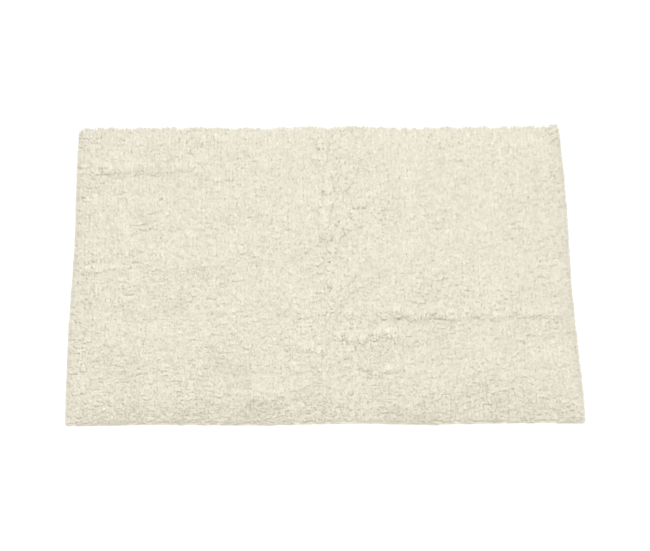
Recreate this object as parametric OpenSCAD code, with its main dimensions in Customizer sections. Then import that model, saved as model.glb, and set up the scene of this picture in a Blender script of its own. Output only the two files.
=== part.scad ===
// Tufted cotton bath mat, lying flat and pile side up.
// Rows of cut-pile yarn stand on a woven base cloth. A latex coat under the cloth locks
// them in and grips the floor. A cotton tape is folded round each edge and sewn down.
// The origin is on the floor under the middle of the mat: +X runs along the long side,
// +Y to the back and +Z up. Millimetres.

/* [Mat] */
// Length of the finished mat, along X
mat_l = 800; // [500:10:1200]
// Width of the finished mat, along Y
mat_w = 500; // [350:10:800]
// Radius of the sewn corners, in plan
corner_r = 7; // [5:0.5:8]

/* [Pile] */
// Distance between neighbouring rows of tufts: the needle gauge, a quarter of an inch
gauge = 6.35; // [5:0.05:8]
// Height of the pile above the base cloth
pile_h = 13; // [8:0.5:20]
// Gap that is left between the bodies of neighbouring rows
row_gap = 0.2; // [0.1:0.05:0.5]
// Radius of the crown of a row, where its tufts lean apart
crown_r = 2.2; // [1:0.1:2.3]
// Number of rows that are kept together in one band
rows_per_band = 4; // [4:1:9]

/* [Backing] */
// Thickness of the woven base cloth
cloth_t = 0.9; // [0.5:0.1:1.5]
// Thickness of the latex coat, and of the edge tape that is level with it
coat_t = 0.6; // [0.4:0.1:1]

/* [Edge] */
// Width of the tape that shows on the pile side, at the left and right
side_fold_w = 6; // [4:0.1:6]
// Width of the tape on the pile side, at the ends of the rows
end_fold_w = 3; // [2.5:0.1:4]
// Width of the tape that is folded under the mat
under_fold_w = 12; // [10:0.5:20]
// Distance from the edge to the seam that holds the tape, at the left and right
side_seam_inset = 3.4; // [1.2:0.1:3.5]
// Distance from the edge to the seam, at the ends of the rows
end_seam_inset = 1.6; // [1.2:0.1:1.8]
// Width of the sewing thread
thread_w = 0.4; // [0.3:0.05:0.5]

/* [Hidden] */
// Heights of the layers, from the floor up
cloth_z = coat_t;
cloth_top = cloth_z + cloth_t;
tape_top = cloth_top + coat_t;
// As many rows as fit between the folds of the tape, in whole bands
band_count = floor((mat_l - 2 * side_fold_w) / (gauge * rows_per_band));
row_count = band_count * rows_per_band;
row_w = gauge - row_gap;
row_l = mat_w - 2 * end_fold_w - row_gap;
// The seam stops short of the corners, where the tape is mitred
seam_end = corner_r + 1;
// The lower thread lies in a groove in the tape, clear of the floor
thread_t = 0.3;
floor_gap = 0.05;
// The mitre cut reaches this far past the folds of the tape
past = 1;

// Name of band number i, which is counted from the left
function band_name(i) = str("tuft_rows_", i < 10 ? "0" : "", i);

SIDES = ["front", "back", "left", "right"];

$fn = 48;

// Outline of the mat with its sewn corners, drawn in from the edge by inset
module outline(inset) {
    r = corner_r - inset;
    l = mat_l - 2 * inset;
    w = mat_w - 2 * inset;
    square([l - 2 * r, w], center = true);
    square([l, w - 2 * r], center = true);
    for (x = [-1, 1], y = [-1, 1])
        translate([x * (l / 2 - r), y * (w / 2 - r)]) circle(r);
}

// Rectangle that is drawn in from the edges of the mat
module inner(side_inset, end_inset) {
    square([mat_l - 2 * side_inset, mat_w - 2 * end_inset], center = true);
}

// Tightly woven cotton cloth that the pile yarn is stitched through
module base_cloth() {
    color("#e2dcc6")
        translate([0, 0, cloth_z]) linear_extrude(cloth_t) outline(coat_t);
}

// Natural latex that is spread on the back, between the folds of the tape
module latex_coat() {
    color("#e9e4d4") linear_extrude(coat_t)
        inner(under_fold_w, under_fold_w);
}

// A straight line of thread along the seam of one side, of height t from height z up
module seam_line(side, z, t) {
    along_x = side == "front" || side == "back";
    run = (along_x ? mat_l : mat_w) - 2 * seam_end;
    sign = side == "front" || side == "left" ? -1 : 1;
    out = sign * (along_x ? mat_w / 2 - end_seam_inset : mat_l / 2 - side_seam_inset);
    translate([along_x ? 0 : out, along_x ? out : 0, z + t / 2])
        cube([along_x ? run : thread_w, along_x ? thread_w : run, t], center = true);
}

// The whole tape, folded round the edge of the cloth on all four sides
module folded_tape() {
    difference() {
        linear_extrude(tape_top) outline(0);
        // Slot that holds the edge of the base cloth
        translate([0, 0, cloth_z]) linear_extrude(cloth_t) outline(coat_t);
        // Opening that the pile stands in
        translate([0, 0, cloth_z + cloth_t / 2]) linear_extrude(tape_top)
            inner(side_fold_w, end_fold_w);
        // Opening that the latex coat fills
        translate([0, 0, -tape_top]) linear_extrude(tape_top + cloth_z + cloth_t / 2)
            inner(under_fold_w, under_fold_w);
        // Groove that the lower thread pulls into the tape
        for (side = SIDES)
            seam_line(side, -thread_t, 2 * thread_t + floor_gap);
    }
}

// Outline of the front or back piece of tape, with its mitred ends
module mitre_x(sign) {
    reach = under_fold_w + past;
    polygon([
        [-mat_l / 2 - past, sign * (mat_w / 2 + past)],
        [mat_l / 2 + past, sign * (mat_w / 2 + past)],
        [mat_l / 2 - reach, sign * (mat_w / 2 - reach)],
        [-mat_l / 2 + reach, sign * (mat_w / 2 - reach)]
    ]);
}

// Outline of the left or right piece of tape, with its mitred ends
module mitre_y(sign) {
    reach = under_fold_w + past;
    polygon([
        [sign * (mat_l / 2 + past), -mat_w / 2 - past],
        [sign * (mat_l / 2 + past), mat_w / 2 + past],
        [sign * (mat_l / 2 - reach), mat_w / 2 - reach],
        [sign * (mat_l / 2 - reach), -mat_w / 2 + reach]
    ]);
}

// Cotton twill tape, folded round one side of the mat
module edge_tape(side) {
    color("#ebe6d5") intersection() {
        folded_tape();
        linear_extrude(tape_top) {
            if (side == "front") mitre_x(-1);
            if (side == "back") mitre_x(1);
            if (side == "left") mitre_y(-1);
            if (side == "right") mitre_y(1);
        }
    }
}

// Needle thread on the pile side, and bobbin thread below
module seam_thread(side) {
    color("#f3efe3") {
        seam_line(side, tape_top, thread_t);
        seam_line(side, floor_gap, thread_t);
    }
}

// Section across one row of tufts, which lean apart into a rounded crown
module row_section() {
    translate([-row_w / 2, 0]) square([row_w, pile_h - crown_r]);
    translate([crown_r - row_w / 2, 0]) square([row_w - 2 * crown_r, pile_h]);
    for (sign = [-1, 1])
        translate([sign * (row_w / 2 - crown_r), pile_h - crown_r]) circle(crown_r);
}

// Rows of cut-pile tufts, each one sewn from its own yarn
module tuft_rows(band) {
    color("#e8e3d0")
        for (i = [0 : rows_per_band - 1]) {
            row = (band - 1) * rows_per_band + i;
            translate([(row - (row_count - 1) / 2) * gauge, row_l / 2, cloth_top])
                rotate([90, 0, 0]) linear_extrude(row_l) row_section();
        }
}

base_cloth();
latex_coat();
for (side = SIDES) {
    edge_tape(side);
    seam_thread(side);
}
for (i = [1 : band_count])
    tuft_rows(i);
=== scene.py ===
# %% [markdown]
# # A tufted cotton bath mat
#
# A tufting machine pushes rows of needles through a plain woven cloth. Each needle leaves
# a row of loops, a knife cuts the loops open, and the cut ends bloom into a deep pile.
# The back is then spread with latex, and the edges are bound with tape.
#
# This lesson builds that mat in the same order: the cloth, the latex, the tape and its
# seams, and then a few hundred thousand strands of pile. Every size comes from the
# CAD model that is loaded here, so that each piece lies exactly where the design says.

# %% Load the CAD model
import math

import bpy
import numpy as np
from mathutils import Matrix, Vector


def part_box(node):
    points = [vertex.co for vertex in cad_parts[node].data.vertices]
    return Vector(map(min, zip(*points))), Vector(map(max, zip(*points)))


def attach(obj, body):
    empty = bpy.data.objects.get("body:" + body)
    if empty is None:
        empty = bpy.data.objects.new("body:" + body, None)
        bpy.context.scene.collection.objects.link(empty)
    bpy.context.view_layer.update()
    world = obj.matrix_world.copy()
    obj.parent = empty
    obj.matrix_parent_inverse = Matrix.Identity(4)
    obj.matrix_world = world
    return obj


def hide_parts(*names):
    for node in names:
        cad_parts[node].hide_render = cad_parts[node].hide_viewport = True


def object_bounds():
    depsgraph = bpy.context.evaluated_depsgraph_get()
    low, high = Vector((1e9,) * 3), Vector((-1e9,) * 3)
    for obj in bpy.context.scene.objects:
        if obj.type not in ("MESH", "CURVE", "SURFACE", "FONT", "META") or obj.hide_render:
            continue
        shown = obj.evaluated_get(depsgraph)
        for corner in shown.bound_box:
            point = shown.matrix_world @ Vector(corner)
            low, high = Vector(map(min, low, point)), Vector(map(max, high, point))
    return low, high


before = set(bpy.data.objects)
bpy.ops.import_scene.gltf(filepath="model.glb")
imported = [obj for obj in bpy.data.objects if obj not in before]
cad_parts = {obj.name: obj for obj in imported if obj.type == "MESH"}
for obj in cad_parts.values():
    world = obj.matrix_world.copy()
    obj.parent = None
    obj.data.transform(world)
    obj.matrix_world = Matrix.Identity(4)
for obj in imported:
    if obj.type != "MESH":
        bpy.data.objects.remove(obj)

cad_low, cad_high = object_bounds()
print("CAD box, in metres:", [round(v, 4) for v in (*cad_low, *cad_high)])

# %% [markdown]
# ## Sizes
#
# Measuring the CAD nodes keeps the lesson honest: if the design changes, the mat follows.
# The rows of pile are grouped in bands, and two neighbouring bands give the needle gauge,
# which is the distance from one row to the next.

# %% Measure the mat
MM = 0.001
SIDES = ("front", "back", "left", "right")
ROWS_PER_BAND = 4
ROW_GAP = 0.2 * MM
band_names = sorted(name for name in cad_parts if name.startswith("tuft_rows_"))

cloth_low, cloth_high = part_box("base_cloth")
_, latex_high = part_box("latex_coat")
first_low, first_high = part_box(band_names[0])
second_low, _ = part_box(band_names[1])

half_length = cad_high.x
half_width = cad_high.y
gauge = (second_low.x - first_low.x) / ROWS_PER_BAND
row_half_length = first_high.y
pile_height = first_high.z - cloth_high.z
cloth_top = cloth_high.z
tape_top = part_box("edge_tape_left")[1].z
tape_thickness = tape_top - cloth_top
print(f"gauge {gauge / MM:.2f} mm, pile {pile_height / MM:.1f} mm, {len(band_names)} bands")

# %% [markdown]
# ## Smooth noise
#
# Nothing about a used cloth is perfectly even. A few sine waves that run in random
# directions add up to a soft, repeatable unevenness that any size of array can ask for.

# %% Noise helpers
def waves(x, y, size, seed, across=0.0, spread=math.pi, count=10):
    """Smooth noise around 0, mostly from -1 to 1, with bumps about this long in metres.

    The waves run in headings within spread of across, and a small spread makes streaks.
    """
    random = np.random.default_rng(seed)
    total = np.zeros(np.broadcast(x, y).shape)
    for _ in range(count):
        heading = across + random.uniform(-spread, spread)
        stretch = random.uniform(0.7, 1.6)
        start = random.uniform(0, 2 * math.pi)
        along = x * math.cos(heading) + y * math.sin(heading)
        total += np.sin(2 * math.pi * along / (size * stretch) + start)
    return total / math.sqrt(count)


def smooth_step(value):
    """0 below 0 and 1 above 1, with a soft turn between them."""
    value = np.clip(value, 0, 1)
    return value * value * (3 - 2 * value)


# %% [markdown]
# ## How the mat lies: a cloth simulation
#
# A bath mat is sold folded in half, and it remembers the fold. The way to find how such a
# sheet comes to rest is to let it: a sheet of the mat's size starts with a tent along the
# fold and a few soft waves, and Blender's Cloth lets it fall on the floor. It is stiff, so
# it keeps a little of both. Only its heights are wanted, and every layer of the mat is
# then laid over them.

# %% Let the sheet settle
FOLD_X = 14 * MM
SHEET_CELL = 10 * MM
SETTLE_FRAMES = 45
MOST_LIFT = 2.5 * MM


def grid_of(cell):
    """Places of a grid over the mat, as two arrays with X in rows and Y in columns."""
    columns = round(2 * half_length / cell)
    rows = round(2 * half_width / cell)
    return np.meshgrid(
        np.linspace(-half_length, half_length, columns + 1),
        np.linspace(-half_width, half_width, rows + 1), indexing="ij")


def grid_quads(columns, rows, first=0):
    """Corners of the squares of a grid, counter-clockwise as seen from above."""
    index = first + np.arange((columns + 1) * (rows + 1)).reshape(columns + 1, rows + 1)
    square = [index[:-1, :-1], index[1:, :-1], index[1:, 1:], index[:-1, 1:]]
    return np.stack([corner.ravel() for corner in square], axis=-1)


def opened_sheet(x, y):
    """Height of the mat as it is just unfolded: a tent along the fold, and soft waves."""
    tent = 9 * MM * np.exp(-np.abs(x - FOLD_X) / (60 * MM))
    swell = 3 * MM * (1 + waves(x, y, 0.22, seed=3))
    return tent + np.maximum(swell, 0)


def settled_sheet():
    """Heights of the sheet at rest on the floor, on the grid of SHEET_CELL."""
    x, y = grid_of(SHEET_CELL)
    heights = opened_sheet(x, y)
    scene = bpy.context.scene
    mesh = bpy.data.meshes.new("trial_sheet")
    points = np.column_stack([x.ravel(), y.ravel(), heights.ravel() + 2 * MM])
    mesh.from_pydata(points.tolist(), [], grid_quads(x.shape[0] - 1, x.shape[1] - 1).tolist())
    sheet = bpy.data.objects.new("trial_sheet", mesh)
    ground_mesh = bpy.data.meshes.new("trial_ground")
    ground_mesh.from_pydata([(-1, -1, 0), (1, -1, 0), (1, 1, 0), (-1, 1, 0)], [], [(0, 1, 2, 3)])
    ground = bpy.data.objects.new("trial_ground", ground_mesh)
    for trial in (sheet, ground):
        scene.collection.objects.link(trial)
    ground.modifiers.new("ground", "COLLISION")
    ground.collision.cloth_friction = 20
    cloth = sheet.modifiers.new("cloth", "CLOTH")
    cloth.settings.quality = 8
    cloth.settings.mass = 0.6 / x.size
    cloth.settings.tension_stiffness = 60
    cloth.settings.compression_stiffness = 60
    cloth.settings.shear_stiffness = 30
    cloth.settings.bending_stiffness = 3
    cloth.settings.air_damping = 3
    cloth.collision_settings.distance_min = 1 * MM
    cloth.point_cache.frame_end = SETTLE_FRAMES
    for step in range(1, SETTLE_FRAMES + 1):
        scene.frame_set(step)
    posed = sheet.evaluated_get(bpy.context.evaluated_depsgraph_get())
    flat = np.empty(3 * x.size, np.float32)
    posed.data.vertices.foreach_get("co", flat)
    rest = flat.reshape(-1, 3)[:, 2].reshape(x.shape)
    scene.frame_set(1)
    for trial, data in ((sheet, mesh), (ground, ground_mesh)):
        bpy.data.objects.remove(trial)
        bpy.data.meshes.remove(data)
    return np.clip(rest - rest.min(), 0, MOST_LIFT)


sheet_heights = settled_sheet()
print(f"the sheet rests up to {sheet_heights.max() / MM:.1f} mm above the floor")

# %% [markdown]
# ## Ripples
#
# Where the slack of the sheet gathers, it stands in low, narrow ripples. They are finer
# than the simulated grid, so they are listed one by one. What matters about them is the pile:
# over a ripple the tufts stand apart and show a dark line, and beside it they close up.
# That comes by itself if each point is moved along the slope of the sheet under it, in
# step with its height in the pile.

# %% Ripples of the sheet
# Each one has a middle in millimetres, a heading in degrees, half its length, its half
# width and its height in millimetres.
RIPPLES = [
    ((-2, 205), 80, 38, 6, 2.2),
    ((8, 125), 84, 45, 6, 2.5),
    ((6, 45), 100, 40, 6, 2.2),
    ((12, -35), 90, 45, 6, 2.0),
    ((45, 165), 60, 45, 6, 1.8),
    ((45, 85), 55, 45, 6, 1.5),
    ((55, 10), 50, 40, 6, 1.5),
    ((-310, 172), 1, 110, 7, 2.2),
    ((-208, 158), 60, 20, 6, 1.6),
    ((215, -77), 0, 205, 7, 2.3),
    ((70, -112), 4, 55, 5, 2.1),
    ((90, -165), -3, 35, 5, 1.9),
    ((-35, -128), -20, 32, 5, 2.0),
    ((-340, 0), 0, 45, 5, 1.0),
    ((-15, 7), 0, 30, 5, 1.0),
    ((-80, -205), 8, 40, 6, 1.3),
    ((150, -230), -4, 70, 6, 1.3),
]


def ripple(x, y, middle, heading, half_run, half_breadth, height):
    """Height of one ripple, which wanders a little and is stronger in some places."""
    cos = math.cos(math.radians(heading))
    sin = math.sin(math.radians(heading))
    from_x = x - middle[0] * MM
    from_y = y - middle[1] * MM
    along = from_x * cos + from_y * sin
    off = from_y * cos - from_x * sin + 3 * MM * waves(along, 0 * along, 0.05, seed=41)
    strength = 0.7 + 0.4 * waves(along, 0 * along, 0.025, seed=42)
    fade = np.exp(-(along / (half_run * MM)) ** 4 - (off / (half_breadth * MM)) ** 2)
    return height * MM * np.maximum(strength, 0.1) * fade


# %% Height and slope of the sheet, at any place
MAP_CELL = 1.25 * MM


def sample(grid, cell, x, y):
    """Values of a grid over the mat at these places, blended from the four nearest."""
    column = np.clip((x + half_length) / cell, 0, grid.shape[0] - 1.001)
    row = np.clip((y + half_width) / cell, 0, grid.shape[1] - 1.001)
    i = column.astype(int)
    j = row.astype(int)
    u = column - i
    v = row - j
    near = grid[i, j] * (1 - v) + grid[i, j + 1] * v
    far = grid[i + 1, j] * (1 - v) + grid[i + 1, j + 1] * v
    return near * (1 - u) + far * u


def soften(grid, times):
    """Rounds a grid by averaging neighbours this many times."""
    for _ in range(times):
        wide = np.pad(grid, 1, mode="edge")
        grid = (wide[:-2, 1:-1] + wide[2:, 1:-1] + wide[1:-1, :-2] + wide[1:-1, 2:]) / 8 + grid / 2
    return grid


map_x, map_y = grid_of(MAP_CELL)
SOFTENING = 60
lift_map = soften(sample(sheet_heights, SHEET_CELL, map_x, map_y), SOFTENING)
lift_map = lift_map + sum(ripple(map_x, map_y, *one) for one in RIPPLES)
edge_distance = np.minimum(half_length - np.abs(map_x), half_width - np.abs(map_y))
lift_map = lift_map * (0.15 + 0.85 * smooth_step(edge_distance / (45 * MM)))
slope_x_map, slope_y_map = np.gradient(lift_map, MAP_CELL)
print(f"with its ripples it rises to {lift_map.max() / MM:.1f} mm")

# %% [markdown]
# ## From the flat mat to the lying mat
#
# Every piece is made on the flat, straight mat, where the arithmetic is easy, and then
# goes through one function. It rounds the sewn corners and lets the edges wander by a
# millimetre or two. It also makes the right end a few millimetres wider and pulls its back
# corner out, because a mat is never cut quite square. Then it lays the piece over the
# settled sheet, so the layers can't drift apart.

# %% Lay points on the floor
# The corner's signs in X and Y, and the radius that it was turned to
SEWN_CORNERS = [(-1, -1, 5 * MM), (1, -1, 5 * MM), (1, 1, 6 * MM), (-1, 1, 9 * MM)]
WIDENING = 0.006             # share of the width that is gained by the middle of the mat
CORNER_PULL = 4.5 * MM
CORNER_PULL_FROM = 0.82      # share of the half length


def lie(points):
    """Moves points of the flat mat to where they lie on the floor."""
    x, y, z = points.T
    for sign_x, sign_y, radius in SEWN_CORNERS:
        past_x = sign_x * x - (half_length - radius)
        past_y = sign_y * y - (half_width - radius)
        inside = (past_x > 0) & (past_y > 0)
        reach = np.maximum(np.hypot(past_x, past_y), 1e-9)
        shrink = np.where(inside, np.maximum(past_x, past_y) / reach, 1)
        x = np.where(inside, sign_x * (half_length - radius + past_x * shrink), x)
        y = np.where(inside, sign_y * (half_width - radius + past_y * shrink), y)
    along = y / half_width
    across = x / half_length
    bulge = np.where(x < 0, 1.2 * np.sin(5.1 * along + 0.6), 1.6 * np.sin(4.2 * along - 0.9))
    shift_x = bulge * MM * np.abs(across) ** 3
    shift_y = 0.8 * MM * np.sin(9 * across + 1.0) * np.abs(along) ** 3
    near_corner = smooth_step((across - CORNER_PULL_FROM) / 0.2)
    corner_pull = CORNER_PULL * near_corner * np.maximum(along, 0) ** 3
    shift_y = shift_y + WIDENING * (1 + across) * y + corner_pull
    lift = sample(lift_map, MAP_CELL, x, y)
    slope_x = sample(slope_x_map, MAP_CELL, x, y)
    slope_y = sample(slope_y_map, MAP_CELL, x, y)
    return np.column_stack([x + shift_x - z * slope_x, y + shift_y - z * slope_y, z + lift])


# %% [markdown]
# ## Turning arrays into meshes
#
# A Blender mesh can be filled straight from NumPy arrays. That takes a moment for a
# hundred thousand faces, where adding them one by one would take minutes.

# %% Mesh helper
def new_piece(name, points, faces, material, nodes):
    """A smooth mesh from points and faces, riding on the mat and standing for CAD nodes."""
    mesh = bpy.data.meshes.new(name)
    mesh.vertices.add(len(points))
    mesh.vertices.foreach_set("co", np.ascontiguousarray(points, np.float32).ravel())
    corners = np.concatenate([group.ravel() for group in faces])
    sizes = np.concatenate([np.full(len(group), group.shape[1]) for group in faces])
    starts = np.concatenate([[0], np.cumsum(sizes)[:-1]])
    mesh.loops.add(len(corners))
    mesh.loops.foreach_set("vertex_index", corners.astype(np.int32))
    mesh.polygons.add(len(sizes))
    mesh.polygons.foreach_set("loop_start", starts.astype(np.int32))
    mesh.polygons.foreach_set("loop_total", sizes.astype(np.int32))
    mesh.polygons.foreach_set("use_smooth", np.ones(len(sizes), bool))
    mesh.update(calc_edges=True)
    mesh.materials.append(material)
    piece = bpy.data.objects.new(name, mesh)
    bpy.context.scene.collection.objects.link(piece)
    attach(piece, "root")
    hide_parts(*nodes)
    return piece


# %% [markdown]
# ## Colours and nodes
#
# Colours are given as hex codes, as a dyer would order them. Blender works with linear
# light, so one function turns them. A second one adds a shader node with its settings
# and its links in a single call.

# %% Colour and node helpers
def colour(code):
    """Linear red, green, blue and alpha of an sRGB hex code."""
    channels = [int(code[i:i + 2], 16) / 255 for i in (0, 2, 4)]
    linear = [c / 12.92 if c <= 0.04045 else ((c + 0.055) / 1.055) ** 2.4 for c in channels]
    return (*linear, 1.0)


def add_node(tree, kind, settings=None, inputs=None):
    """Adds a shader node. An input is a value, or a (node, output name) pair to link."""
    node = tree.nodes.new(kind)
    for name, value in (settings or {}).items():
        setattr(node, name, value)
    for name, value in (inputs or {}).items():
        if isinstance(value, tuple) and isinstance(value[0], bpy.types.Node):
            tree.links.new(value[0].outputs[value[1]], node.inputs[name])
        else:
            node.inputs[name].default_value = value
    return node


def new_material(name):
    """An empty node material and its tree."""
    material = bpy.data.materials.new(name)
    material.use_nodes = True
    material.node_tree.nodes.clear()
    return material, material.node_tree


# %% [markdown]
# ## Cotton canvas: the base cloth
#
# The yarn is stitched through a plain-woven cotton canvas. Warp and weft of the same
# thickness cross one over one, and that gives small raised squares, in the colour of
# unbleached cotton. Two sets of bands, one along X and one along Y, make the weave: where
# both are high a thread lies on top. The hollows between the threads are painted darker,
# as painted shade. Cotton has an IOR of about 1.5 and hardly any gloss.

# %% Cotton canvas material
CANVAS_THREAD = 1.6 * MM     # a real thread is about 0.8 mm; twice that still shows


def cotton_canvas():
    """Plain-woven, unbleached cotton canvas."""
    material, tree = new_material("cotton_canvas")
    place = add_node(tree, "ShaderNodeTexCoord")
    threads = {}
    for direction in ("X", "Y"):
        threads[direction] = add_node(
            tree, "ShaderNodeTexWave", {"bands_direction": direction, "wave_profile": "SIN"},
            {"Vector": (place, "Object"), "Scale": math.pi / 10 / CANVAS_THREAD,
             "Distortion": 1.2, "Detail": 1.0, "Detail Scale": 2.0})
    over = add_node(
        tree, "ShaderNodeMath", {"operation": "MAXIMUM"},
        {0: (threads["X"], "Fac"), 1: (threads["Y"], "Fac")})
    # Painted shade: darker where the weave is low, in the hollows between threads, lighter on the
    # raised threads
    shade = add_node(
        tree, "ShaderNodeMix", {"data_type": "RGBA"},
        {"Factor": (over, "Value"), "A": colour("DAD6C8"), "B": colour("E9E6DB")})
    relief = add_node(
        tree, "ShaderNodeBump", None,
        {"Strength": 0.6, "Distance": 0.3 * MM, "Height": (over, "Value")})
    surface = add_node(
        tree, "ShaderNodeBsdfPrincipled", None,
        {"Base Color": (shade, "Result"), "Roughness": 0.9, "IOR": 1.5,
         "Specular IOR Level": 0.2, "Sheen Weight": 0.15, "Sheen Roughness": 0.5,
         "Normal": (relief, "Normal")})
    add_node(tree, "ShaderNodeOutputMaterial", None, {"Surface": (surface, "BSDF")})
    return material


# %% [markdown]
# ## Thin closed sheets
#
# The cloth and the latex coat are both thin slabs with soft rims. One function makes
# them: a grid below, a grid on top, and rings of points that carry the rim from the one
# to the other. A plane with a Solidify modifier would do too, but its rim is square.

# %% A slab with a shaped rim
def slab(columns, rows, rings):
    """Points and faces of a sheet. The rings are its rim from below, as (inset, height)."""
    u, v = np.meshgrid(
        np.linspace(-1, 1, columns + 1), np.linspace(-1, 1, rows + 1), indexing="ij")
    index = np.arange(u.size).reshape(u.shape)
    rim = np.concatenate([index[:-1, 0], index[-1, :-1], index[:0:-1, -1], index[0, :0:-1]])

    def placed(pick, ring):
        inset, height = ring
        return np.column_stack([
            u.ravel()[pick] * (half_length - inset),
            v.ravel()[pick] * (half_width - inset),
            np.full(len(pick), height)])

    everything = np.arange(u.size)
    points = [placed(everything, rings[0]), placed(everything, rings[-1])]
    faces = [grid_quads(columns, rows)[:, ::-1], grid_quads(columns, rows, u.size)]
    chain = [rim]
    for number, ring in enumerate(rings[1:-1]):
        points.append(placed(rim, ring))
        chain.append(2 * u.size + number * len(rim) + np.arange(len(rim)))
    chain.append(u.size + rim)
    for below, above in zip(chain[:-1], chain[1:]):
        faces.append(np.stack(
            [below, np.roll(below, -1), np.roll(above, -1), above], axis=-1))
    return np.concatenate(points), faces


# %% Base cloth
cloth_inset = half_length - cloth_high.x
cloth_round = (cloth_top - cloth_low.z) / 2
cloth_rings = [
    (cloth_inset + cloth_round * (1 - math.cos(turn)),
     cloth_low.z + cloth_round * (1 + math.sin(turn)))
    for turn in np.radians([-90, -50, -20, 20, 50, 90])]
points, faces = slab(200, 125, cloth_rings)
base_cloth = new_piece(
    "woven_base_cloth", lie(points), faces, cotton_canvas(), ["base_cloth"])
print("base cloth:", len(base_cloth.data.polygons), "faces")

# %% [markdown]
# ## Natural latex: the coat on the back
#
# The latex is spread on as a thick milk, so it fills the back and sets with the rows of
# stitches showing through as low ridges. Dried natural latex is cream-coloured, a little
# glossy with an IOR of 1.52, and it lets some light in. Tiny bubbles leave pits in it.

# %% Natural latex material
PIT_SIZE = 3 * MM            # real pits are under 1 mm; these are wide enough to show


def natural_latex():
    """Spread natural latex with small pits."""
    material, tree = new_material("natural_latex")
    place = add_node(tree, "ShaderNodeTexCoord")
    pits = add_node(
        tree, "ShaderNodeTexVoronoi", {"feature": "SMOOTH_F1"},
        {"Vector": (place, "Object"), "Scale": 1 / PIT_SIZE, "Smoothness": 0.6})
    cloudy = add_node(
        tree, "ShaderNodeTexNoise", None,
        {"Vector": (place, "Object"), "Scale": 30.0, "Detail": 3.0})
    shade = add_node(
        tree, "ShaderNodeMix", {"data_type": "RGBA"},
        {"Factor": (cloudy, "Fac"), "A": colour("E2DAC0"), "B": colour("EFE9D6")})
    relief = add_node(
        tree, "ShaderNodeBump", None,
        {"Strength": 0.4, "Distance": 0.2 * MM, "Height": (pits, "Distance")})
    surface = add_node(
        tree, "ShaderNodeBsdfPrincipled", None,
        {"Base Color": (shade, "Result"), "Roughness": 0.55, "IOR": 1.52,
         "Subsurface Weight": 0.1, "Subsurface Radius": (0.002, 0.0015, 0.001),
         "Normal": (relief, "Normal")})
    add_node(tree, "ShaderNodeOutputMaterial", None, {"Surface": (surface, "BSDF")})
    return material


# %% Latex coat
RIDGE = 0.25 * MM
POINTS_PER_GAUGE = 4
latex_inset = half_length - latex_high.x
latex_rings = [
    (latex_inset + 0.2 * MM, 0), (latex_inset, 0.15 * MM),
    (latex_inset, latex_high.z - 0.15 * MM), (latex_inset + 0.2 * MM, latex_high.z)]
columns = round(2 * (half_length - latex_inset) / gauge * POINTS_PER_GAUGE)
points, faces = slab(columns, 96, latex_rings)
underside = points[:, 2] == 0
between_rows = (1 - np.cos(2 * math.pi * (points[:, 0] - first_low.x) / gauge + math.pi)) / 2
uneven = 0.8 + 0.2 * waves(points[:, 0], points[:, 1], 0.03, seed=51)
points[:, 2] += np.where(underside, RIDGE * between_rows * np.clip(uneven, 0, 1), 0)
latex_coat = new_piece(
    "latex_backing", lie(points), faces, natural_latex(), ["latex_coat"])
print("latex coat:", len(latex_coat.data.polygons), "faces")

# %% [markdown]
# ## Cotton twill: the edge tape
#
# Twill tape is woven so that each weft thread steps one warp thread aside, and that draws
# fine diagonal ribs. One set of bands that runs at 45 degrees gives the ribs, and a soft
# noise makes them slightly uneven, as spun cotton is. The grooves between the ribs are
# painted darker, as painted shade.

# %% Cotton twill material
TWILL_RIB = 1.4 * MM         # a real rib is about 0.7 mm; twice that still shows


def cotton_twill():
    """Twill-woven cotton tape."""
    material, tree = new_material("cotton_twill_tape")
    place = add_node(tree, "ShaderNodeTexCoord")
    ribs = add_node(
        tree, "ShaderNodeTexWave", {"bands_direction": "DIAGONAL", "wave_profile": "SIN"},
        {"Vector": (place, "Object"), "Scale": math.pi / 10 / TWILL_RIB / math.sqrt(2),
         "Distortion": 0.8, "Detail": 1.0, "Detail Scale": 3.0})
    # Painted shade: darker in the grooves between the ribs, lighter on their crests
    shade = add_node(
        tree, "ShaderNodeMix", {"data_type": "RGBA"},
        {"Factor": (ribs, "Fac"), "A": colour("E4DECA"), "B": colour("F1ECDD")})
    relief = add_node(
        tree, "ShaderNodeBump", None,
        {"Strength": 0.5, "Distance": 0.2 * MM, "Height": (ribs, "Fac")})
    surface = add_node(
        tree, "ShaderNodeBsdfPrincipled", None,
        {"Base Color": (shade, "Result"), "Roughness": 0.85, "IOR": 1.5,
         "Specular IOR Level": 0.25, "Sheen Weight": 0.15, "Sheen Roughness": 0.5,
         "Normal": (relief, "Normal")})
    add_node(tree, "ShaderNodeOutputMaterial", None, {"Surface": (surface, "BSDF")})
    return material


# %% [markdown]
# ## Folding the tape round the edge
#
# Each side has one tape, folded in half over the edge of the cloth and mitred at its
# ends. Its section is drawn once as two outlines with the same number of points, the
# outside and the inside of the fold, and it is carried along the side. The seam pulls a
# shallow channel into it, with a small dimple at every stitch.

# %% Places along a side
STITCH = 3 * MM
SEAM_END = 8 * MM
MITRE_ZONE = 14 * MM
UNDER_FOLD = half_length - latex_high.x
pile_end_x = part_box(band_names[-1])[1].x


def runs_along_x(side):
    """Whether a side is the front or the back."""
    return side in ("front", "back")


def on_side(side, along, inset, height):
    """Points of the flat mat from places along a side and distances in from its edge."""
    sign = -1 if side in ("front", "left") else 1
    if runs_along_x(side):
        return np.stack([along, sign * (half_width - inset), height], axis=-1)
    return np.stack([sign * (half_length - inset), along, height], axis=-1)


def half_run(side):
    """Half the length of a side."""
    return half_length if runs_along_x(side) else half_width


def fold_width(side):
    """Width of the tape on the pile side, up to the first row of pile."""
    return half_width - row_half_length if runs_along_x(side) else half_length - pile_end_x


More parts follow.
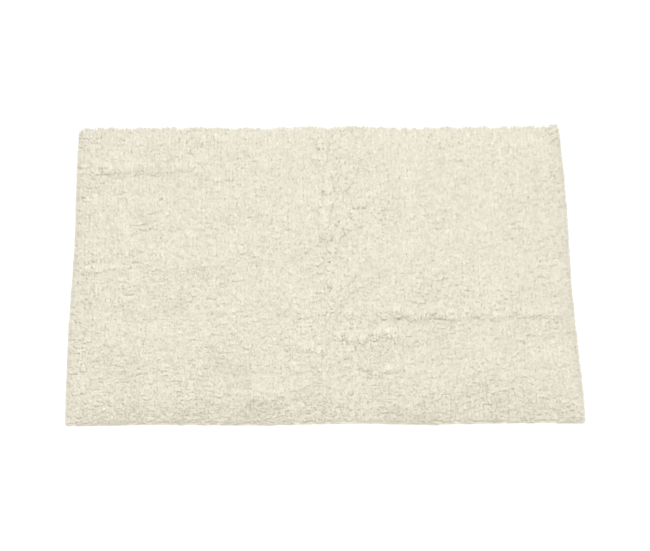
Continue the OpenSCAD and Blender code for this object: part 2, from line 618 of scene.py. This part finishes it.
SEAM_INSET = {}
for side in SIDES:
    seam_low, seam_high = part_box("seam_thread_" + side)
    middle = (seam_low + seam_high) / 2
    SEAM_INSET[side] = half_run("left" if runs_along_x(side) else "front") - abs(
        middle.y if runs_along_x(side) else middle.x)
print("seams lie in from the edge by", {s: round(v / MM, 2) for s, v in SEAM_INSET.items()}, "mm")


def near_hole(along, half_span):
    """1 where the needle went through, every stitch, and 0 between the holes."""
    off = np.abs((along / STITCH + 0.5) % 1 - 0.5) * STITCH
    return np.exp(-(off / (0.5 * MM)) ** 2) * (np.abs(along) < half_span - SEAM_END)


# %% Edge tape
def edge_tape(side):
    """Points and faces of the tape that is folded round one side."""
    turn = np.radians(np.linspace(-90, 90, 9))
    middle = tape_top / 2
    inner_round = middle - tape_thickness
    lower = np.linspace(UNDER_FOLD - 0.1 * MM, middle, 9)[:-1]
    upper = np.linspace(middle, fold_width(side) - 0.3 * MM, 8)[1:]
    near_seam = SEAM_INSET[side] + np.array([0.6, 0, -0.6]) * MM
    near_seam = near_seam[near_seam > middle]
    lower = np.sort(np.concatenate([lower, near_seam]))[::-1]
    upper = np.sort(np.concatenate([upper, near_seam]))

    def outline(radius):
        inset = np.concatenate([lower, middle - radius * np.cos(turn), upper])
        height = np.concatenate([
            np.full(len(lower), middle - radius), middle + radius * np.sin(turn),
            np.full(len(upper), middle + radius)])
        return inset, height

    outer_inset, outer_height = outline(middle)
    inner_inset, inner_height = outline(inner_round)
    inset = np.concatenate([outer_inset, inner_inset[::-1]])
    height = np.concatenate([outer_height, inner_height[::-1]])
    section = len(inset)

    span = half_run(side)
    straight = span - MITRE_ZONE
    steps = np.arange(-round(span / MM), round(span / MM) + 1) * MM
    reach = straight + (np.abs(steps)[:, None] - straight) * (
        (span - inset - 0.05 * MM - straight) / MITRE_ZONE)
    along = np.where(np.abs(steps)[:, None] > straight, np.sign(steps)[:, None] * reach,
                     steps[:, None])
    inset = np.broadcast_to(inset, along.shape)
    height = np.broadcast_to(height, along.shape).copy()

    # The seam presses a channel into both outer faces, and a dimple at each stitch
    at_seam = np.exp(-((inset - SEAM_INSET[side]) / (0.6 * MM)) ** 2)
    top = height > tape_top - 0.01 * MM
    bottom = height < 0.01 * MM
    hole = near_hole(along, span)
    height = height - np.where(top, at_seam * (0.10 + 0.18 * hole) * MM, 0)
    height = height + np.where(bottom, at_seam * 0.36 * MM, 0)
    # The free edge on the pile side is soft, and curls up here and there
    free = np.where(height > tape_top / 2, smooth_step((inset - middle) / fold_width(side)), 0)
    height = height + free * 0.2 * MM * np.maximum(waves(along, inset, 0.04, seed=61), 0)
    wander = 0.15 * MM * waves(along, 0 * along, 0.03, seed=62)
    inset = inset + np.where(inset < middle, wander ** 2 / MM, 0)

    points = on_side(side, along, inset, height).reshape(-1, 3)
    index = np.arange(len(points)).reshape(len(steps), section)
    beside = np.roll(index, -1, axis=1)
    walls = np.stack([index[:-1], index[1:], beside[1:], beside[:-1]], axis=-1).reshape(-1, 4)
    half = section // 2
    caps = []
    for row, flip in ((index[0], False), (index[-1], True)):
        outside = row[:half]
        inside = row[half:][::-1]
        cap = np.stack([outside[:-1], outside[1:], inside[1:], inside[:-1]], axis=-1)
        caps.append(cap[:, ::-1] if flip else cap)
    faces = np.concatenate([walls, *caps])
    if side in ("front", "right"):
        return points, [faces[:, ::-1]]
    return points, [faces]


twill = cotton_twill()
for side in SIDES:
    points, faces = edge_tape(side)
    new_piece(
        "twill_tape_" + side, lie(points), faces, twill, ["edge_tape_" + side])

# %% [markdown]
# ## Cotton sewing thread: the seams
#
# A lock stitch has two threads. The needle thread lies on top of the tape and dives into
# a hole every 3 mm, where it catches the bobbin thread that runs underneath. Both are
# modelled as tubes. The thread is spun hard and twisted, so it is smoother than the tape,
# and its plies show as slanting bands, with painted shade in the grooves between them.

# %% Cotton sewing thread material
PLY_TWIST = 0.9 * MM


def sewing_thread():
    """Twisted cotton sewing thread."""
    material, tree = new_material("cotton_sewing_thread")
    place = add_node(tree, "ShaderNodeTexCoord")
    plies = add_node(
        tree, "ShaderNodeTexWave", {"bands_direction": "DIAGONAL", "wave_profile": "SIN"},
        {"Vector": (place, "Object"), "Scale": math.pi / 10 / PLY_TWIST / math.sqrt(2)})
    shade = add_node(
        tree, "ShaderNodeMix", {"data_type": "RGBA"},
        # Painted shade: darker in the grooves between the plies, lighter on their crests
        {"Factor": (plies, "Fac"), "A": colour("EAE5D6"), "B": colour("F6F3E8")})
    relief = add_node(
        tree, "ShaderNodeBump", None,
        {"Strength": 0.5, "Distance": 0.1 * MM, "Height": (plies, "Fac")})
    surface = add_node(
        tree, "ShaderNodeBsdfPrincipled", None,
        {"Base Color": (shade, "Result"), "Roughness": 0.65, "IOR": 1.5,
         "Sheen Weight": 0.1, "Normal": (relief, "Normal")})
    add_node(tree, "ShaderNodeOutputMaterial", None, {"Surface": (surface, "BSDF")})
    return material


# %% Seam threads
THREAD_RADIUS = 0.2 * MM
THREAD_SIDES = 6
RINGS_PER_STITCH = 6


def thread_tube(side, height_of):
    """Points and faces of one thread along a side. Its height depends on the place."""
    reach = half_run(side) - SEAM_END
    count = round(2 * reach / STITCH * RINGS_PER_STITCH)
    along = np.linspace(-reach, reach, count + 1)[:, None]
    angle = np.arange(THREAD_SIDES) * 2 * math.pi / THREAD_SIDES
    weave = 0.05 * MM * np.sin(2 * math.pi * along / STITCH)
    inset = SEAM_INSET[side] + weave + THREAD_RADIUS * np.cos(angle)
    height = height_of(along) + 0.75 * THREAD_RADIUS * np.sin(angle)
    along = np.broadcast_to(along, inset.shape)
    points = on_side(side, along, inset, height).reshape(-1, 3)
    index = np.arange(len(points)).reshape(along.shape)
    beside = np.roll(index, -1, axis=1)
    walls = np.stack([index[:-1], index[1:], beside[1:], beside[:-1]], axis=-1).reshape(-1, 4)
    ends = np.stack([index[0], index[-1][::-1]])
    if side in ("front", "right"):
        return points, [walls[:, ::-1], ends[:, ::-1]]
    return points, [walls, ends]


def seam(side):
    """Needle thread and bobbin thread of one side, as one mesh."""
    span = half_run(side)
    top_points, top_faces = thread_tube(
        side, lambda along: tape_top + (0.06 - 0.45 * near_hole(along, span)) * MM)
    low_points, low_faces = thread_tube(
        side, lambda along: (0.20 + 0.25 * near_hole(along, span)) * MM)
    faces = top_faces + [group + len(top_points) for group in low_faces]
    return np.concatenate([top_points, low_points]), faces


thread = sewing_thread()
for side in SIDES:
    points, faces = seam(side)
    new_piece(
        "lock_stitch_" + side, lie(points), faces, thread, ["seam_thread_" + side])
print("stitches in the four seams:", round(4 * (half_length + half_width - 2 * SEAM_END) / STITCH))

# %% [markdown]
# ## Cotton yarn: the pile
#
# The pile yarn is soft, loosely spun cotton in its natural cream colour. It has no gloss:
# the fibres scatter light in all directions, and their loose ends give a faint sheen at
# the rim. Spun cotton is never one even colour, so each tuft has its own tint, kept as an
# attribute on the mesh, and a slow noise adds the difference between lots of yarn.

# %% Cotton yarn material
FIBRE = 0.35 * MM            # bundles of fibres; a single one is 0.02 mm


def cotton_yarn():
    """Soft, loosely spun cotton yarn."""
    material, tree = new_material("cotton_yarn")
    tint = add_node(tree, "ShaderNodeAttribute", {"attribute_name": "tint"})
    place = add_node(tree, "ShaderNodeTexCoord")
    lot = add_node(
        tree, "ShaderNodeTexNoise", None,
        {"Vector": (place, "Object"), "Scale": 18.0, "Detail": 2.0, "Roughness": 0.6})
    spun = add_node(
        tree, "ShaderNodeMix", {"data_type": "RGBA"},
        {"Factor": (tint, "Fac"), "A": colour("E4E0D0"), "B": colour("F5F1E5")})
    shade = add_node(
        tree, "ShaderNodeMix", {"data_type": "RGBA", "blend_type": "MULTIPLY"},
        {"Factor": (lot, "Fac"), "A": (spun, "Result"), "B": colour("F9F8F5")})
    stretched = add_node(
        tree, "ShaderNodeMapping", None,
        {"Vector": (place, "Object"), "Scale": (1 / FIBRE, 1 / FIBRE, 0.15 / FIBRE)})
    fibres = add_node(
        tree, "ShaderNodeTexNoise", None, {"Vector": (stretched, "Vector"), "Scale": 1.0})
    relief = add_node(
        tree, "ShaderNodeBump", None,
        {"Strength": 0.3, "Distance": 0.1 * MM, "Height": (fibres, "Fac")})
    surface = add_node(
        tree, "ShaderNodeBsdfPrincipled", None,
        {"Base Color": (shade, "Result"), "Roughness": 0.9, "IOR": 1.5,
         "Specular IOR Level": 0.2, "Sheen Weight": 0.25, "Sheen Roughness": 0.5,
         "Normal": (relief, "Normal")})
    add_node(tree, "ShaderNodeOutputMaterial", None, {"Surface": (surface, "BSDF")})
    return material


# %% [markdown]
# ## Which way the pile leans
#
# Cut pile doesn't stand straight up. It leans where it was brushed or trodden on, and its
# tips cling together in clumps. Two functions say so: one gives the slow lean of the tufts
# at any place, the other the middle of the clump that a tip belongs to. How ruffled the
# pile is differs from place to place. Most of it is along the old fold, and wherever the
# cloth below is bent.

# %% Lean, ruffle and clumps
SIDE_RIM_LEAN = 0.50         # radians
END_RIM_LEAN = 0.14


def ruffle(x, y):
    """How ruffled the pile is at these places: 0 is combed, and 1 is very untidy."""
    patches = 0.22 * waves(x, y, 0.14, seed=21) + 0.20 * waves(x, y, 0.05, seed=22)
    fold = 0.45 * np.exp(-((x - FOLD_X - 8 * MM) / (32 * MM)) ** 2)
    left = 0.20 * smooth_step(-x / half_length - 0.1)
    front = 0.12 * smooth_step(-y / half_width * 1.6 - 0.4)
    bent = np.hypot(sample(slope_x_map, MAP_CELL, x, y), sample(slope_y_map, MAP_CELL, x, y))
    return np.clip(0.33 + patches + fold + left + front + 1.2 * bent, 0.05, 1.3)


def lay(x, y):
    """Lean of the tuft tips at these places, in radians towards +X and towards +Y."""
    untidy = ruffle(x, y)
    fold = np.exp(-((x - FOLD_X - 18 * MM) / (34 * MM)) ** 2)
    level = (0.06 + 0.22 * untidy) * (1 - fold) * waves(
        x, y, 0.012, seed=14, across=math.pi / 2, spread=0.4)
    slanting = 0.60 * untidy * fold * waves(x, y, 0.013, seed=15, across=-0.5, spread=0.3)
    lean_x = 0.08 * waves(x, y, 0.12, seed=11) + 0.10 * untidy * waves(x, y, 0.020, seed=12)
    lean_x = lean_x + 0.10 * fold + 0.7 * slanting
    lean_y = 0.10 * waves(x, y, 0.10, seed=13) - 0.05 + 0.15 * fold + level - 0.7 * slanting
    # The outermost tufts have no neighbours to hold them, and hang over the tape
    side_rim = smooth_step((np.abs(x) - half_length + 45 * MM) / (38 * MM))
    end_rim = smooth_step((np.abs(y) - half_width + 34 * MM) / (30 * MM))
    lean_x = lean_x * (1 - 0.5 * side_rim) + SIDE_RIM_LEAN * side_rim * np.sign(x)
    lean_y = lean_y * (1 - 0.5 * end_rim) + END_RIM_LEAN * end_rim * np.sign(y)
    return lean_x, lean_y


def clump_middle(x, y, size_x, size_y, seed):
    """Offsets from these places to the nearest of many scattered clump middles."""
    random = np.random.default_rng(seed)
    u = (x + 1.1 * half_length) / size_x
    v = (y + 1.1 * half_width) / size_y
    columns = int(2.2 * half_length / size_x) + 3
    rows = int(2.2 * half_width / size_y) + 3
    scatter = random.uniform(0, 1, (columns, rows, 2))
    nearest = np.full(u.shape, np.inf)
    off_u = np.zeros(u.shape)
    off_v = np.zeros(u.shape)
    for step_u in (-1, 0, 1):
        for step_v in (-1, 0, 1):
            i = np.clip(np.floor(u).astype(int) + step_u, 0, columns - 1)
            j = np.clip(np.floor(v).astype(int) + step_v, 0, rows - 1)
            away_u = i + scatter[i, j, 0] - u
            away_v = j + scatter[i, j, 1] - v
            distance = away_u ** 2 + away_v ** 2
            closer = distance < nearest
            nearest = np.where(closer, distance, nearest)
            off_u = np.where(closer, away_u, off_u)
            off_v = np.where(closer, away_v, off_v)
    return off_u * size_x, off_v * size_y


# %% [markdown]
# ## Tufts and strands
#
# A needle leaves a tuft every few millimetres along its row. Each tuft opens at the top
# like a brush, into two dozen fuzzy strands that fill its place among its neighbours. A
# strand is a soft tube with a blunt tip that bends as an arc. Blender's hair would be
# quicker to set up, but the pile is to leave Blender as plain geometry, so the strands are
# meshes, made for a whole band of rows at a time.

# %% Where the strands of a band stand
TUFT_STEP = 4.2 * MM
ACROSS = 6
ALONG = 4
STRANDS = ACROSS * ALONG
BLOOM_ACROSS = 1.42
BLOOM_ALONG = 1.16
CLUMP_X = 16 * MM
CLUMP_Y = 7 * MM
RIM_TILT = 0.5
TRIM_X = half_length + 0.2 * MM
TRIM_Y = half_width + 2.4 * MM


def strand_places(band, random):
    """Root, length, lean and tint of each strand of a band, as a dict of arrays."""
    per_row = round(2 * row_half_length / TUFT_STEP)
    step = 2 * row_half_length / per_row
    tufts = ROWS_PER_BAND * per_row
    row = np.repeat(np.arange(ROWS_PER_BAND), per_row)
    number = np.tile(np.arange(per_row), ROWS_PER_BAND)
    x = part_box(band_names[band])[0].x - ROW_GAP / 2 + gauge * (row + 0.5)
    y = (number + 0.5) * step - row_half_length
    y = y + np.repeat(random.uniform(-0.2, 0.2, ROWS_PER_BAND), per_row) * step
    x = x + random.normal(0, 0.3 * MM, tufts)
    y = np.clip(y, MM - row_half_length, row_half_length - MM) + random.normal(0, 0.4 * MM, tufts)
    untidy = ruffle(x, y)
    lean_x, lean_y = lay(x, y)
    lean_x = lean_x + random.normal(0, 1, tufts) * (0.08 + 0.06 * untidy)
    lean_y = lean_y + random.normal(0, 1, tufts) * (0.08 + 0.10 * untidy)
    length = pile_height * (1 + random.normal(0, 0.03, tufts) * (0.5 + 1.5 * untidy))
    tint = np.clip(random.normal(0.5, 0.2, tufts), 0, 1)
    bloom = 1 + random.normal(0, 0.16, tufts)

    # The strands stand in a small grid, which opens with the height of the tuft
    count = tufts * STRANDS
    place_u = np.tile((np.arange(STRANDS) % ACROSS + 0.5) / ACROSS * 2 - 1, tufts)
    place_v = np.tile((np.arange(STRANDS) // ACROSS + 0.5) / ALONG * 2 - 1, tufts)
    open_x = (place_u + random.uniform(-0.45, 0.45, count)) * gauge / 2
    open_y = (place_v + random.uniform(-0.6, 0.6, count)) * step / 2
    open_x = open_x * BLOOM_ACROSS * np.repeat(bloom, STRANDS)
    open_y = open_y * BLOOM_ALONG * np.repeat(bloom, STRANDS)
    root_x = np.repeat(x, STRANDS) + 0.3 * open_x
    root_y = np.repeat(y, STRANDS) + 0.4 * open_y
    length = np.repeat(length, STRANDS) * (1 - random.uniform(0, 0.06, count))
    lean_x = np.repeat(lean_x, STRANDS) + 1.4 * open_x / length + random.normal(0, 0.07, count)
    lean_y = np.repeat(lean_y, STRANDS) + 1.2 * open_y / length + random.normal(0, 0.07, count)

    # Tips cling to the middle of their clump, more so where the pile is ruffled. The
    # outermost strands are tilted from the root on, by this share of their lean.
    past_end = smooth_step((np.abs(root_y) - row_half_length + 2.6 * MM) / (2.2 * MM))
    past_side = smooth_step((np.abs(root_x) - pile_end_x + 3.4 * MM) / (2.2 * MM))
    tilt = RIM_TILT * np.maximum(past_end, past_side)
    reach = length * (1 + tilt) / 2
    tip_x = root_x + lean_x * reach
    tip_y = root_y + lean_y * reach
    pull_x, pull_y = clump_middle(tip_x, tip_y, CLUMP_X, CLUMP_Y, seed=71)
    cling = 0.03 + 0.14 * np.repeat(untidy, STRANDS)
    tip_x = tip_x + cling * pull_x
    tip_y = tip_y + cling * pull_y
    # The shears trim the overhanging tips to one line all round
    tip_x = tip_x + 0.5 * past_side * (TRIM_X * np.sign(tip_x) - tip_x)
    tip_y = tip_y + 0.6 * past_end * (TRIM_Y * np.sign(tip_y) - tip_y)
    tip_x = np.clip(tip_x, -TRIM_X, TRIM_X)
    tip_y = np.clip(tip_y, -TRIM_Y, TRIM_Y)
    lean_x = (tip_x - root_x) / reach
    lean_y = (tip_y - root_y) / reach
    tint = np.clip(np.repeat(tint, STRANDS) + random.normal(0, 0.3, count), 0, 1)
    return {"x": root_x, "y": root_y, "length": length,
            "lean_x": lean_x, "lean_y": lean_y, "tilt": tilt, "tint": tint}


# %% [markdown]
# ## The shape of a strand
#
# Each strand has two rings and a tip. It leaves the cloth upright and bends evenly, so
# it follows an arc of its own length. The outermost strands start already tilted, because
# nothing stands beside them. A fuzzy yarn has no crisp skin: its shading normals are
# turned towards the way it grows, more and more to the tip, and so light rolls softly
# over the pile where hard tubes would glitter. How far they follow the bend is limited,
# or the strands at the rim would look darker than fuzzy yarn does.

# %% Strand meshes
RINGS = np.array([0.0, 0.86])
RING_RADII = np.array([0.36, 0.74]) * MM
RING_SKIN = np.array([0.7, 0.35])
CORNERS = 3
ROOT_DEPTH = 0.3 * MM
MOST_SHADED_TILT = 0.50


def strand_meshes(strands, random):
    """Points, faces and normals of strands, all of them at once."""
    count = len(strands["x"])
    length = strands["length"]
    lean = np.maximum(np.hypot(strands["lean_x"], strands["lean_y"]), 1e-4)
    towards_x = strands["lean_x"] / lean
    towards_y = strands["lean_y"] / lean
    spin = random.uniform(0, 2 * math.pi, count)
    angles = spin[:, None] + np.arange(CORNERS) * 2 * math.pi / CORNERS
    heading = np.stack([np.cos(angles), np.sin(angles)], axis=-1)
    girth = random.normal(1, 0.08, count)
    points = np.empty((count, len(RINGS) * CORNERS + 1, 3))
    normals = np.empty_like(points)
    start = lean * strands["tilt"]
    turn_radius = length / (lean - start)
    for ring, share in enumerate([*RINGS, 1.0]):
        bend = start + (lean - start) * share
        tilt = np.minimum(bend, MOST_SHADED_TILT)
        grow = np.stack([np.sin(tilt) * towards_x, np.sin(tilt) * towards_y, np.cos(tilt)], axis=-1)
        away = turn_radius * (np.cos(start) - np.cos(bend))
        rise = turn_radius * (np.sin(bend) - np.sin(start))
        middle = np.stack([
            strands["x"] + away * towards_x, strands["y"] + away * towards_y,
            cloth_top - ROOT_DEPTH + rise], axis=-1)
        if ring == len(RINGS):
            points[:, -1] = middle
            normals[:, -1] = grow
            continue
        corner = slice(ring * CORNERS, (ring + 1) * CORNERS)
        out = heading * (RING_RADII[ring] * girth)[:, None, None]
        points[:, corner, :2] = middle[:, None, :2] + out
        points[:, corner, 2] = middle[:, None, 2] - (out * grow[:, None, :2]).sum(axis=-1)
        normals[:, corner, :2] = RING_SKIN[ring] * heading
        normals[:, corner, 2] = 0
        normals[:, corner] += (1 - RING_SKIN[ring]) * grow[:, None]
    normals /= np.linalg.norm(normals, axis=-1, keepdims=True)

    around = np.arange(CORNERS)
    beside = (around + 1) % CORNERS
    walls = np.concatenate([
        np.stack([around, beside, beside + CORNERS, around + CORNERS], axis=-1) + ring * CORNERS
        for ring in range(len(RINGS) - 1)])
    last = (len(RINGS) - 1) * CORNERS
    tip = np.stack([around + last, beside + last, np.full(CORNERS, last + CORNERS)], axis=-1)
    first = (np.arange(count) * points.shape[1])[:, None, None]
    quads = (first + walls).reshape(-1, 4)
    ends = (first + np.concatenate([tip, around[None, ::-1]])).reshape(-1, 3)
    return points.reshape(-1, 3), [quads, ends], normals.reshape(-1, 3)


# %% [markdown]
# ## A map for the pile
#
# A texture map of hundreds of thousands of strands would take very long to unwrap. The
# pile is looked at from above, so its plan does as the map: each band gets a rectangle.

# %% Texture map of the pile, from above
def map_from_above(piece):
    """Gives a band of pile a map that is its own rectangle as seen from above."""
    mesh = piece.data
    flat = np.empty(3 * len(mesh.vertices), np.float32)
    mesh.vertices.foreach_get("co", flat)
    plan = flat.reshape(-1, 3)[:, :2]
    low_corner = plan.min(axis=0)
    plan = (plan - low_corner) / (plan.max(axis=0) - low_corner)
    corner_vertex = np.empty(len(mesh.loops), np.int32)
    mesh.loops.foreach_get("vertex_index", corner_vertex)
    layer = mesh.uv_layers.new(name="OFBake")
    layer.uv.foreach_set("vector", plan[corner_vertex].ravel())


# %% Sew the pile
yarn = cotton_yarn()
strand_total = 0
for band, node in enumerate(band_names):
    random = np.random.default_rng(1000 + band)
    strands = strand_places(band, random)
    points, faces, normals = strand_meshes(strands, random)
    piece = new_piece("pile_" + node[-2:], lie(points), faces, yarn, [node])
    tint = piece.data.attributes.new("tint", "FLOAT", "POINT")
    tint.data.foreach_set("value", np.repeat(strands["tint"], len(points) // len(strands["x"])))
    piece.data.normals_split_custom_set_from_vertices(normals)
    map_from_above(piece)
    strand_total += len(strands["x"])
print("strands of pile:", strand_total)

# %% [markdown]
# Three kinds of piece were cut from flat cloth: the base cloth and the four lengths of
# tape.

# %% [markdown]
# ## Floor, light and camera
#
# A white floor and soft light from above, near the camera, are what a shop's product
# picture uses: they keep shadows short and show the pile's texture. Light bounces many
# times between pale fibres, and most of the brightness deep in the pile comes from that,
# so the number of diffuse bounces is raised.

# %% Floor
FLOOR_HALF = 4.0
floor_mesh = bpy.data.meshes.new("floor")
floor_mesh.from_pydata(
    [(x * FLOOR_HALF, y * FLOOR_HALF, 0) for x, y in ((-1, -1), (1, -1), (1, 1), (-1, 1))],
    [], [(0, 1, 2, 3)])
floor = bpy.data.objects.new("floor", floor_mesh)
bpy.context.scene.collection.objects.link(floor)
floor.location.z = -0.2 * MM
paint, tree = new_material("matt_white_paint")
surface = add_node(
    tree, "ShaderNodeBsdfPrincipled", None,
    {"Base Color": colour("FAFAFA"), "Roughness": 0.9, "Specular IOR Level": 0.0})
add_node(tree, "ShaderNodeOutputMaterial", None, {"Surface": (surface, "BSDF")})
floor_mesh.materials.append(paint)

# %% Light
def soft_light(name, place, size, power):
    """A round lamp that shines on the middle of the mat."""
    data = bpy.data.lights.new(name, "AREA")
    data.shape = "DISK"
    data.size = size
    data.energy = power
    lamp = bpy.data.objects.new(name, data)
    bpy.context.scene.collection.objects.link(lamp)
    lamp.location = place
    lamp.rotation_mode = "QUATERNION"
    lamp.rotation_quaternion = (-lamp.location).to_track_quat("-Z", "Y")
    return lamp


soft_light("key", (-0.10, -0.45, 3.0), 1.4, 66)
soft_light("back_fill", (0.5, 1.2, 2.8), 1.2, 9)
world = bpy.data.worlds.new("studio")
bpy.context.scene.world = world
world.use_nodes = True
SKY_LIGHT = 0.45
backdrop = world.node_tree.nodes["Background"]
backdrop.inputs["Color"].default_value = (1, 1, 1, 1)
# The camera sees a white backdrop past the floor, which lights the mat less than it shows
ray = add_node(world.node_tree, "ShaderNodeLightPath")
strength = add_node(
    world.node_tree, "ShaderNodeMapRange", None,
    {"Value": (ray, "Is Camera Ray"), "To Min": SKY_LIGHT, "To Max": 1.0})
world.node_tree.links.new(strength.outputs["Result"], backdrop.inputs["Strength"])
BOUNCES = 24
bpy.context.scene.cycles.max_bounces = BOUNCES
bpy.context.scene.cycles.diffuse_bounces = BOUNCES
bpy.context.scene.view_settings.view_transform = "Standard"

# %% Camera
LENS = 71.7                  # millimetres
CAMERA_PLACE = (-0.081, -0.725, 1.945)
CAMERA_TURN = (20.28, -2.08, -1.00)    # degrees
camera_data = bpy.data.cameras.new("camera")
camera_data.lens = LENS
camera_data.sensor_width = 36
camera = bpy.data.objects.new("camera", camera_data)
bpy.context.scene.collection.objects.link(camera)
camera.location = CAMERA_PLACE
camera.rotation_euler = [math.radians(angle) for angle in CAMERA_TURN]
bpy.context.scene.camera = camera
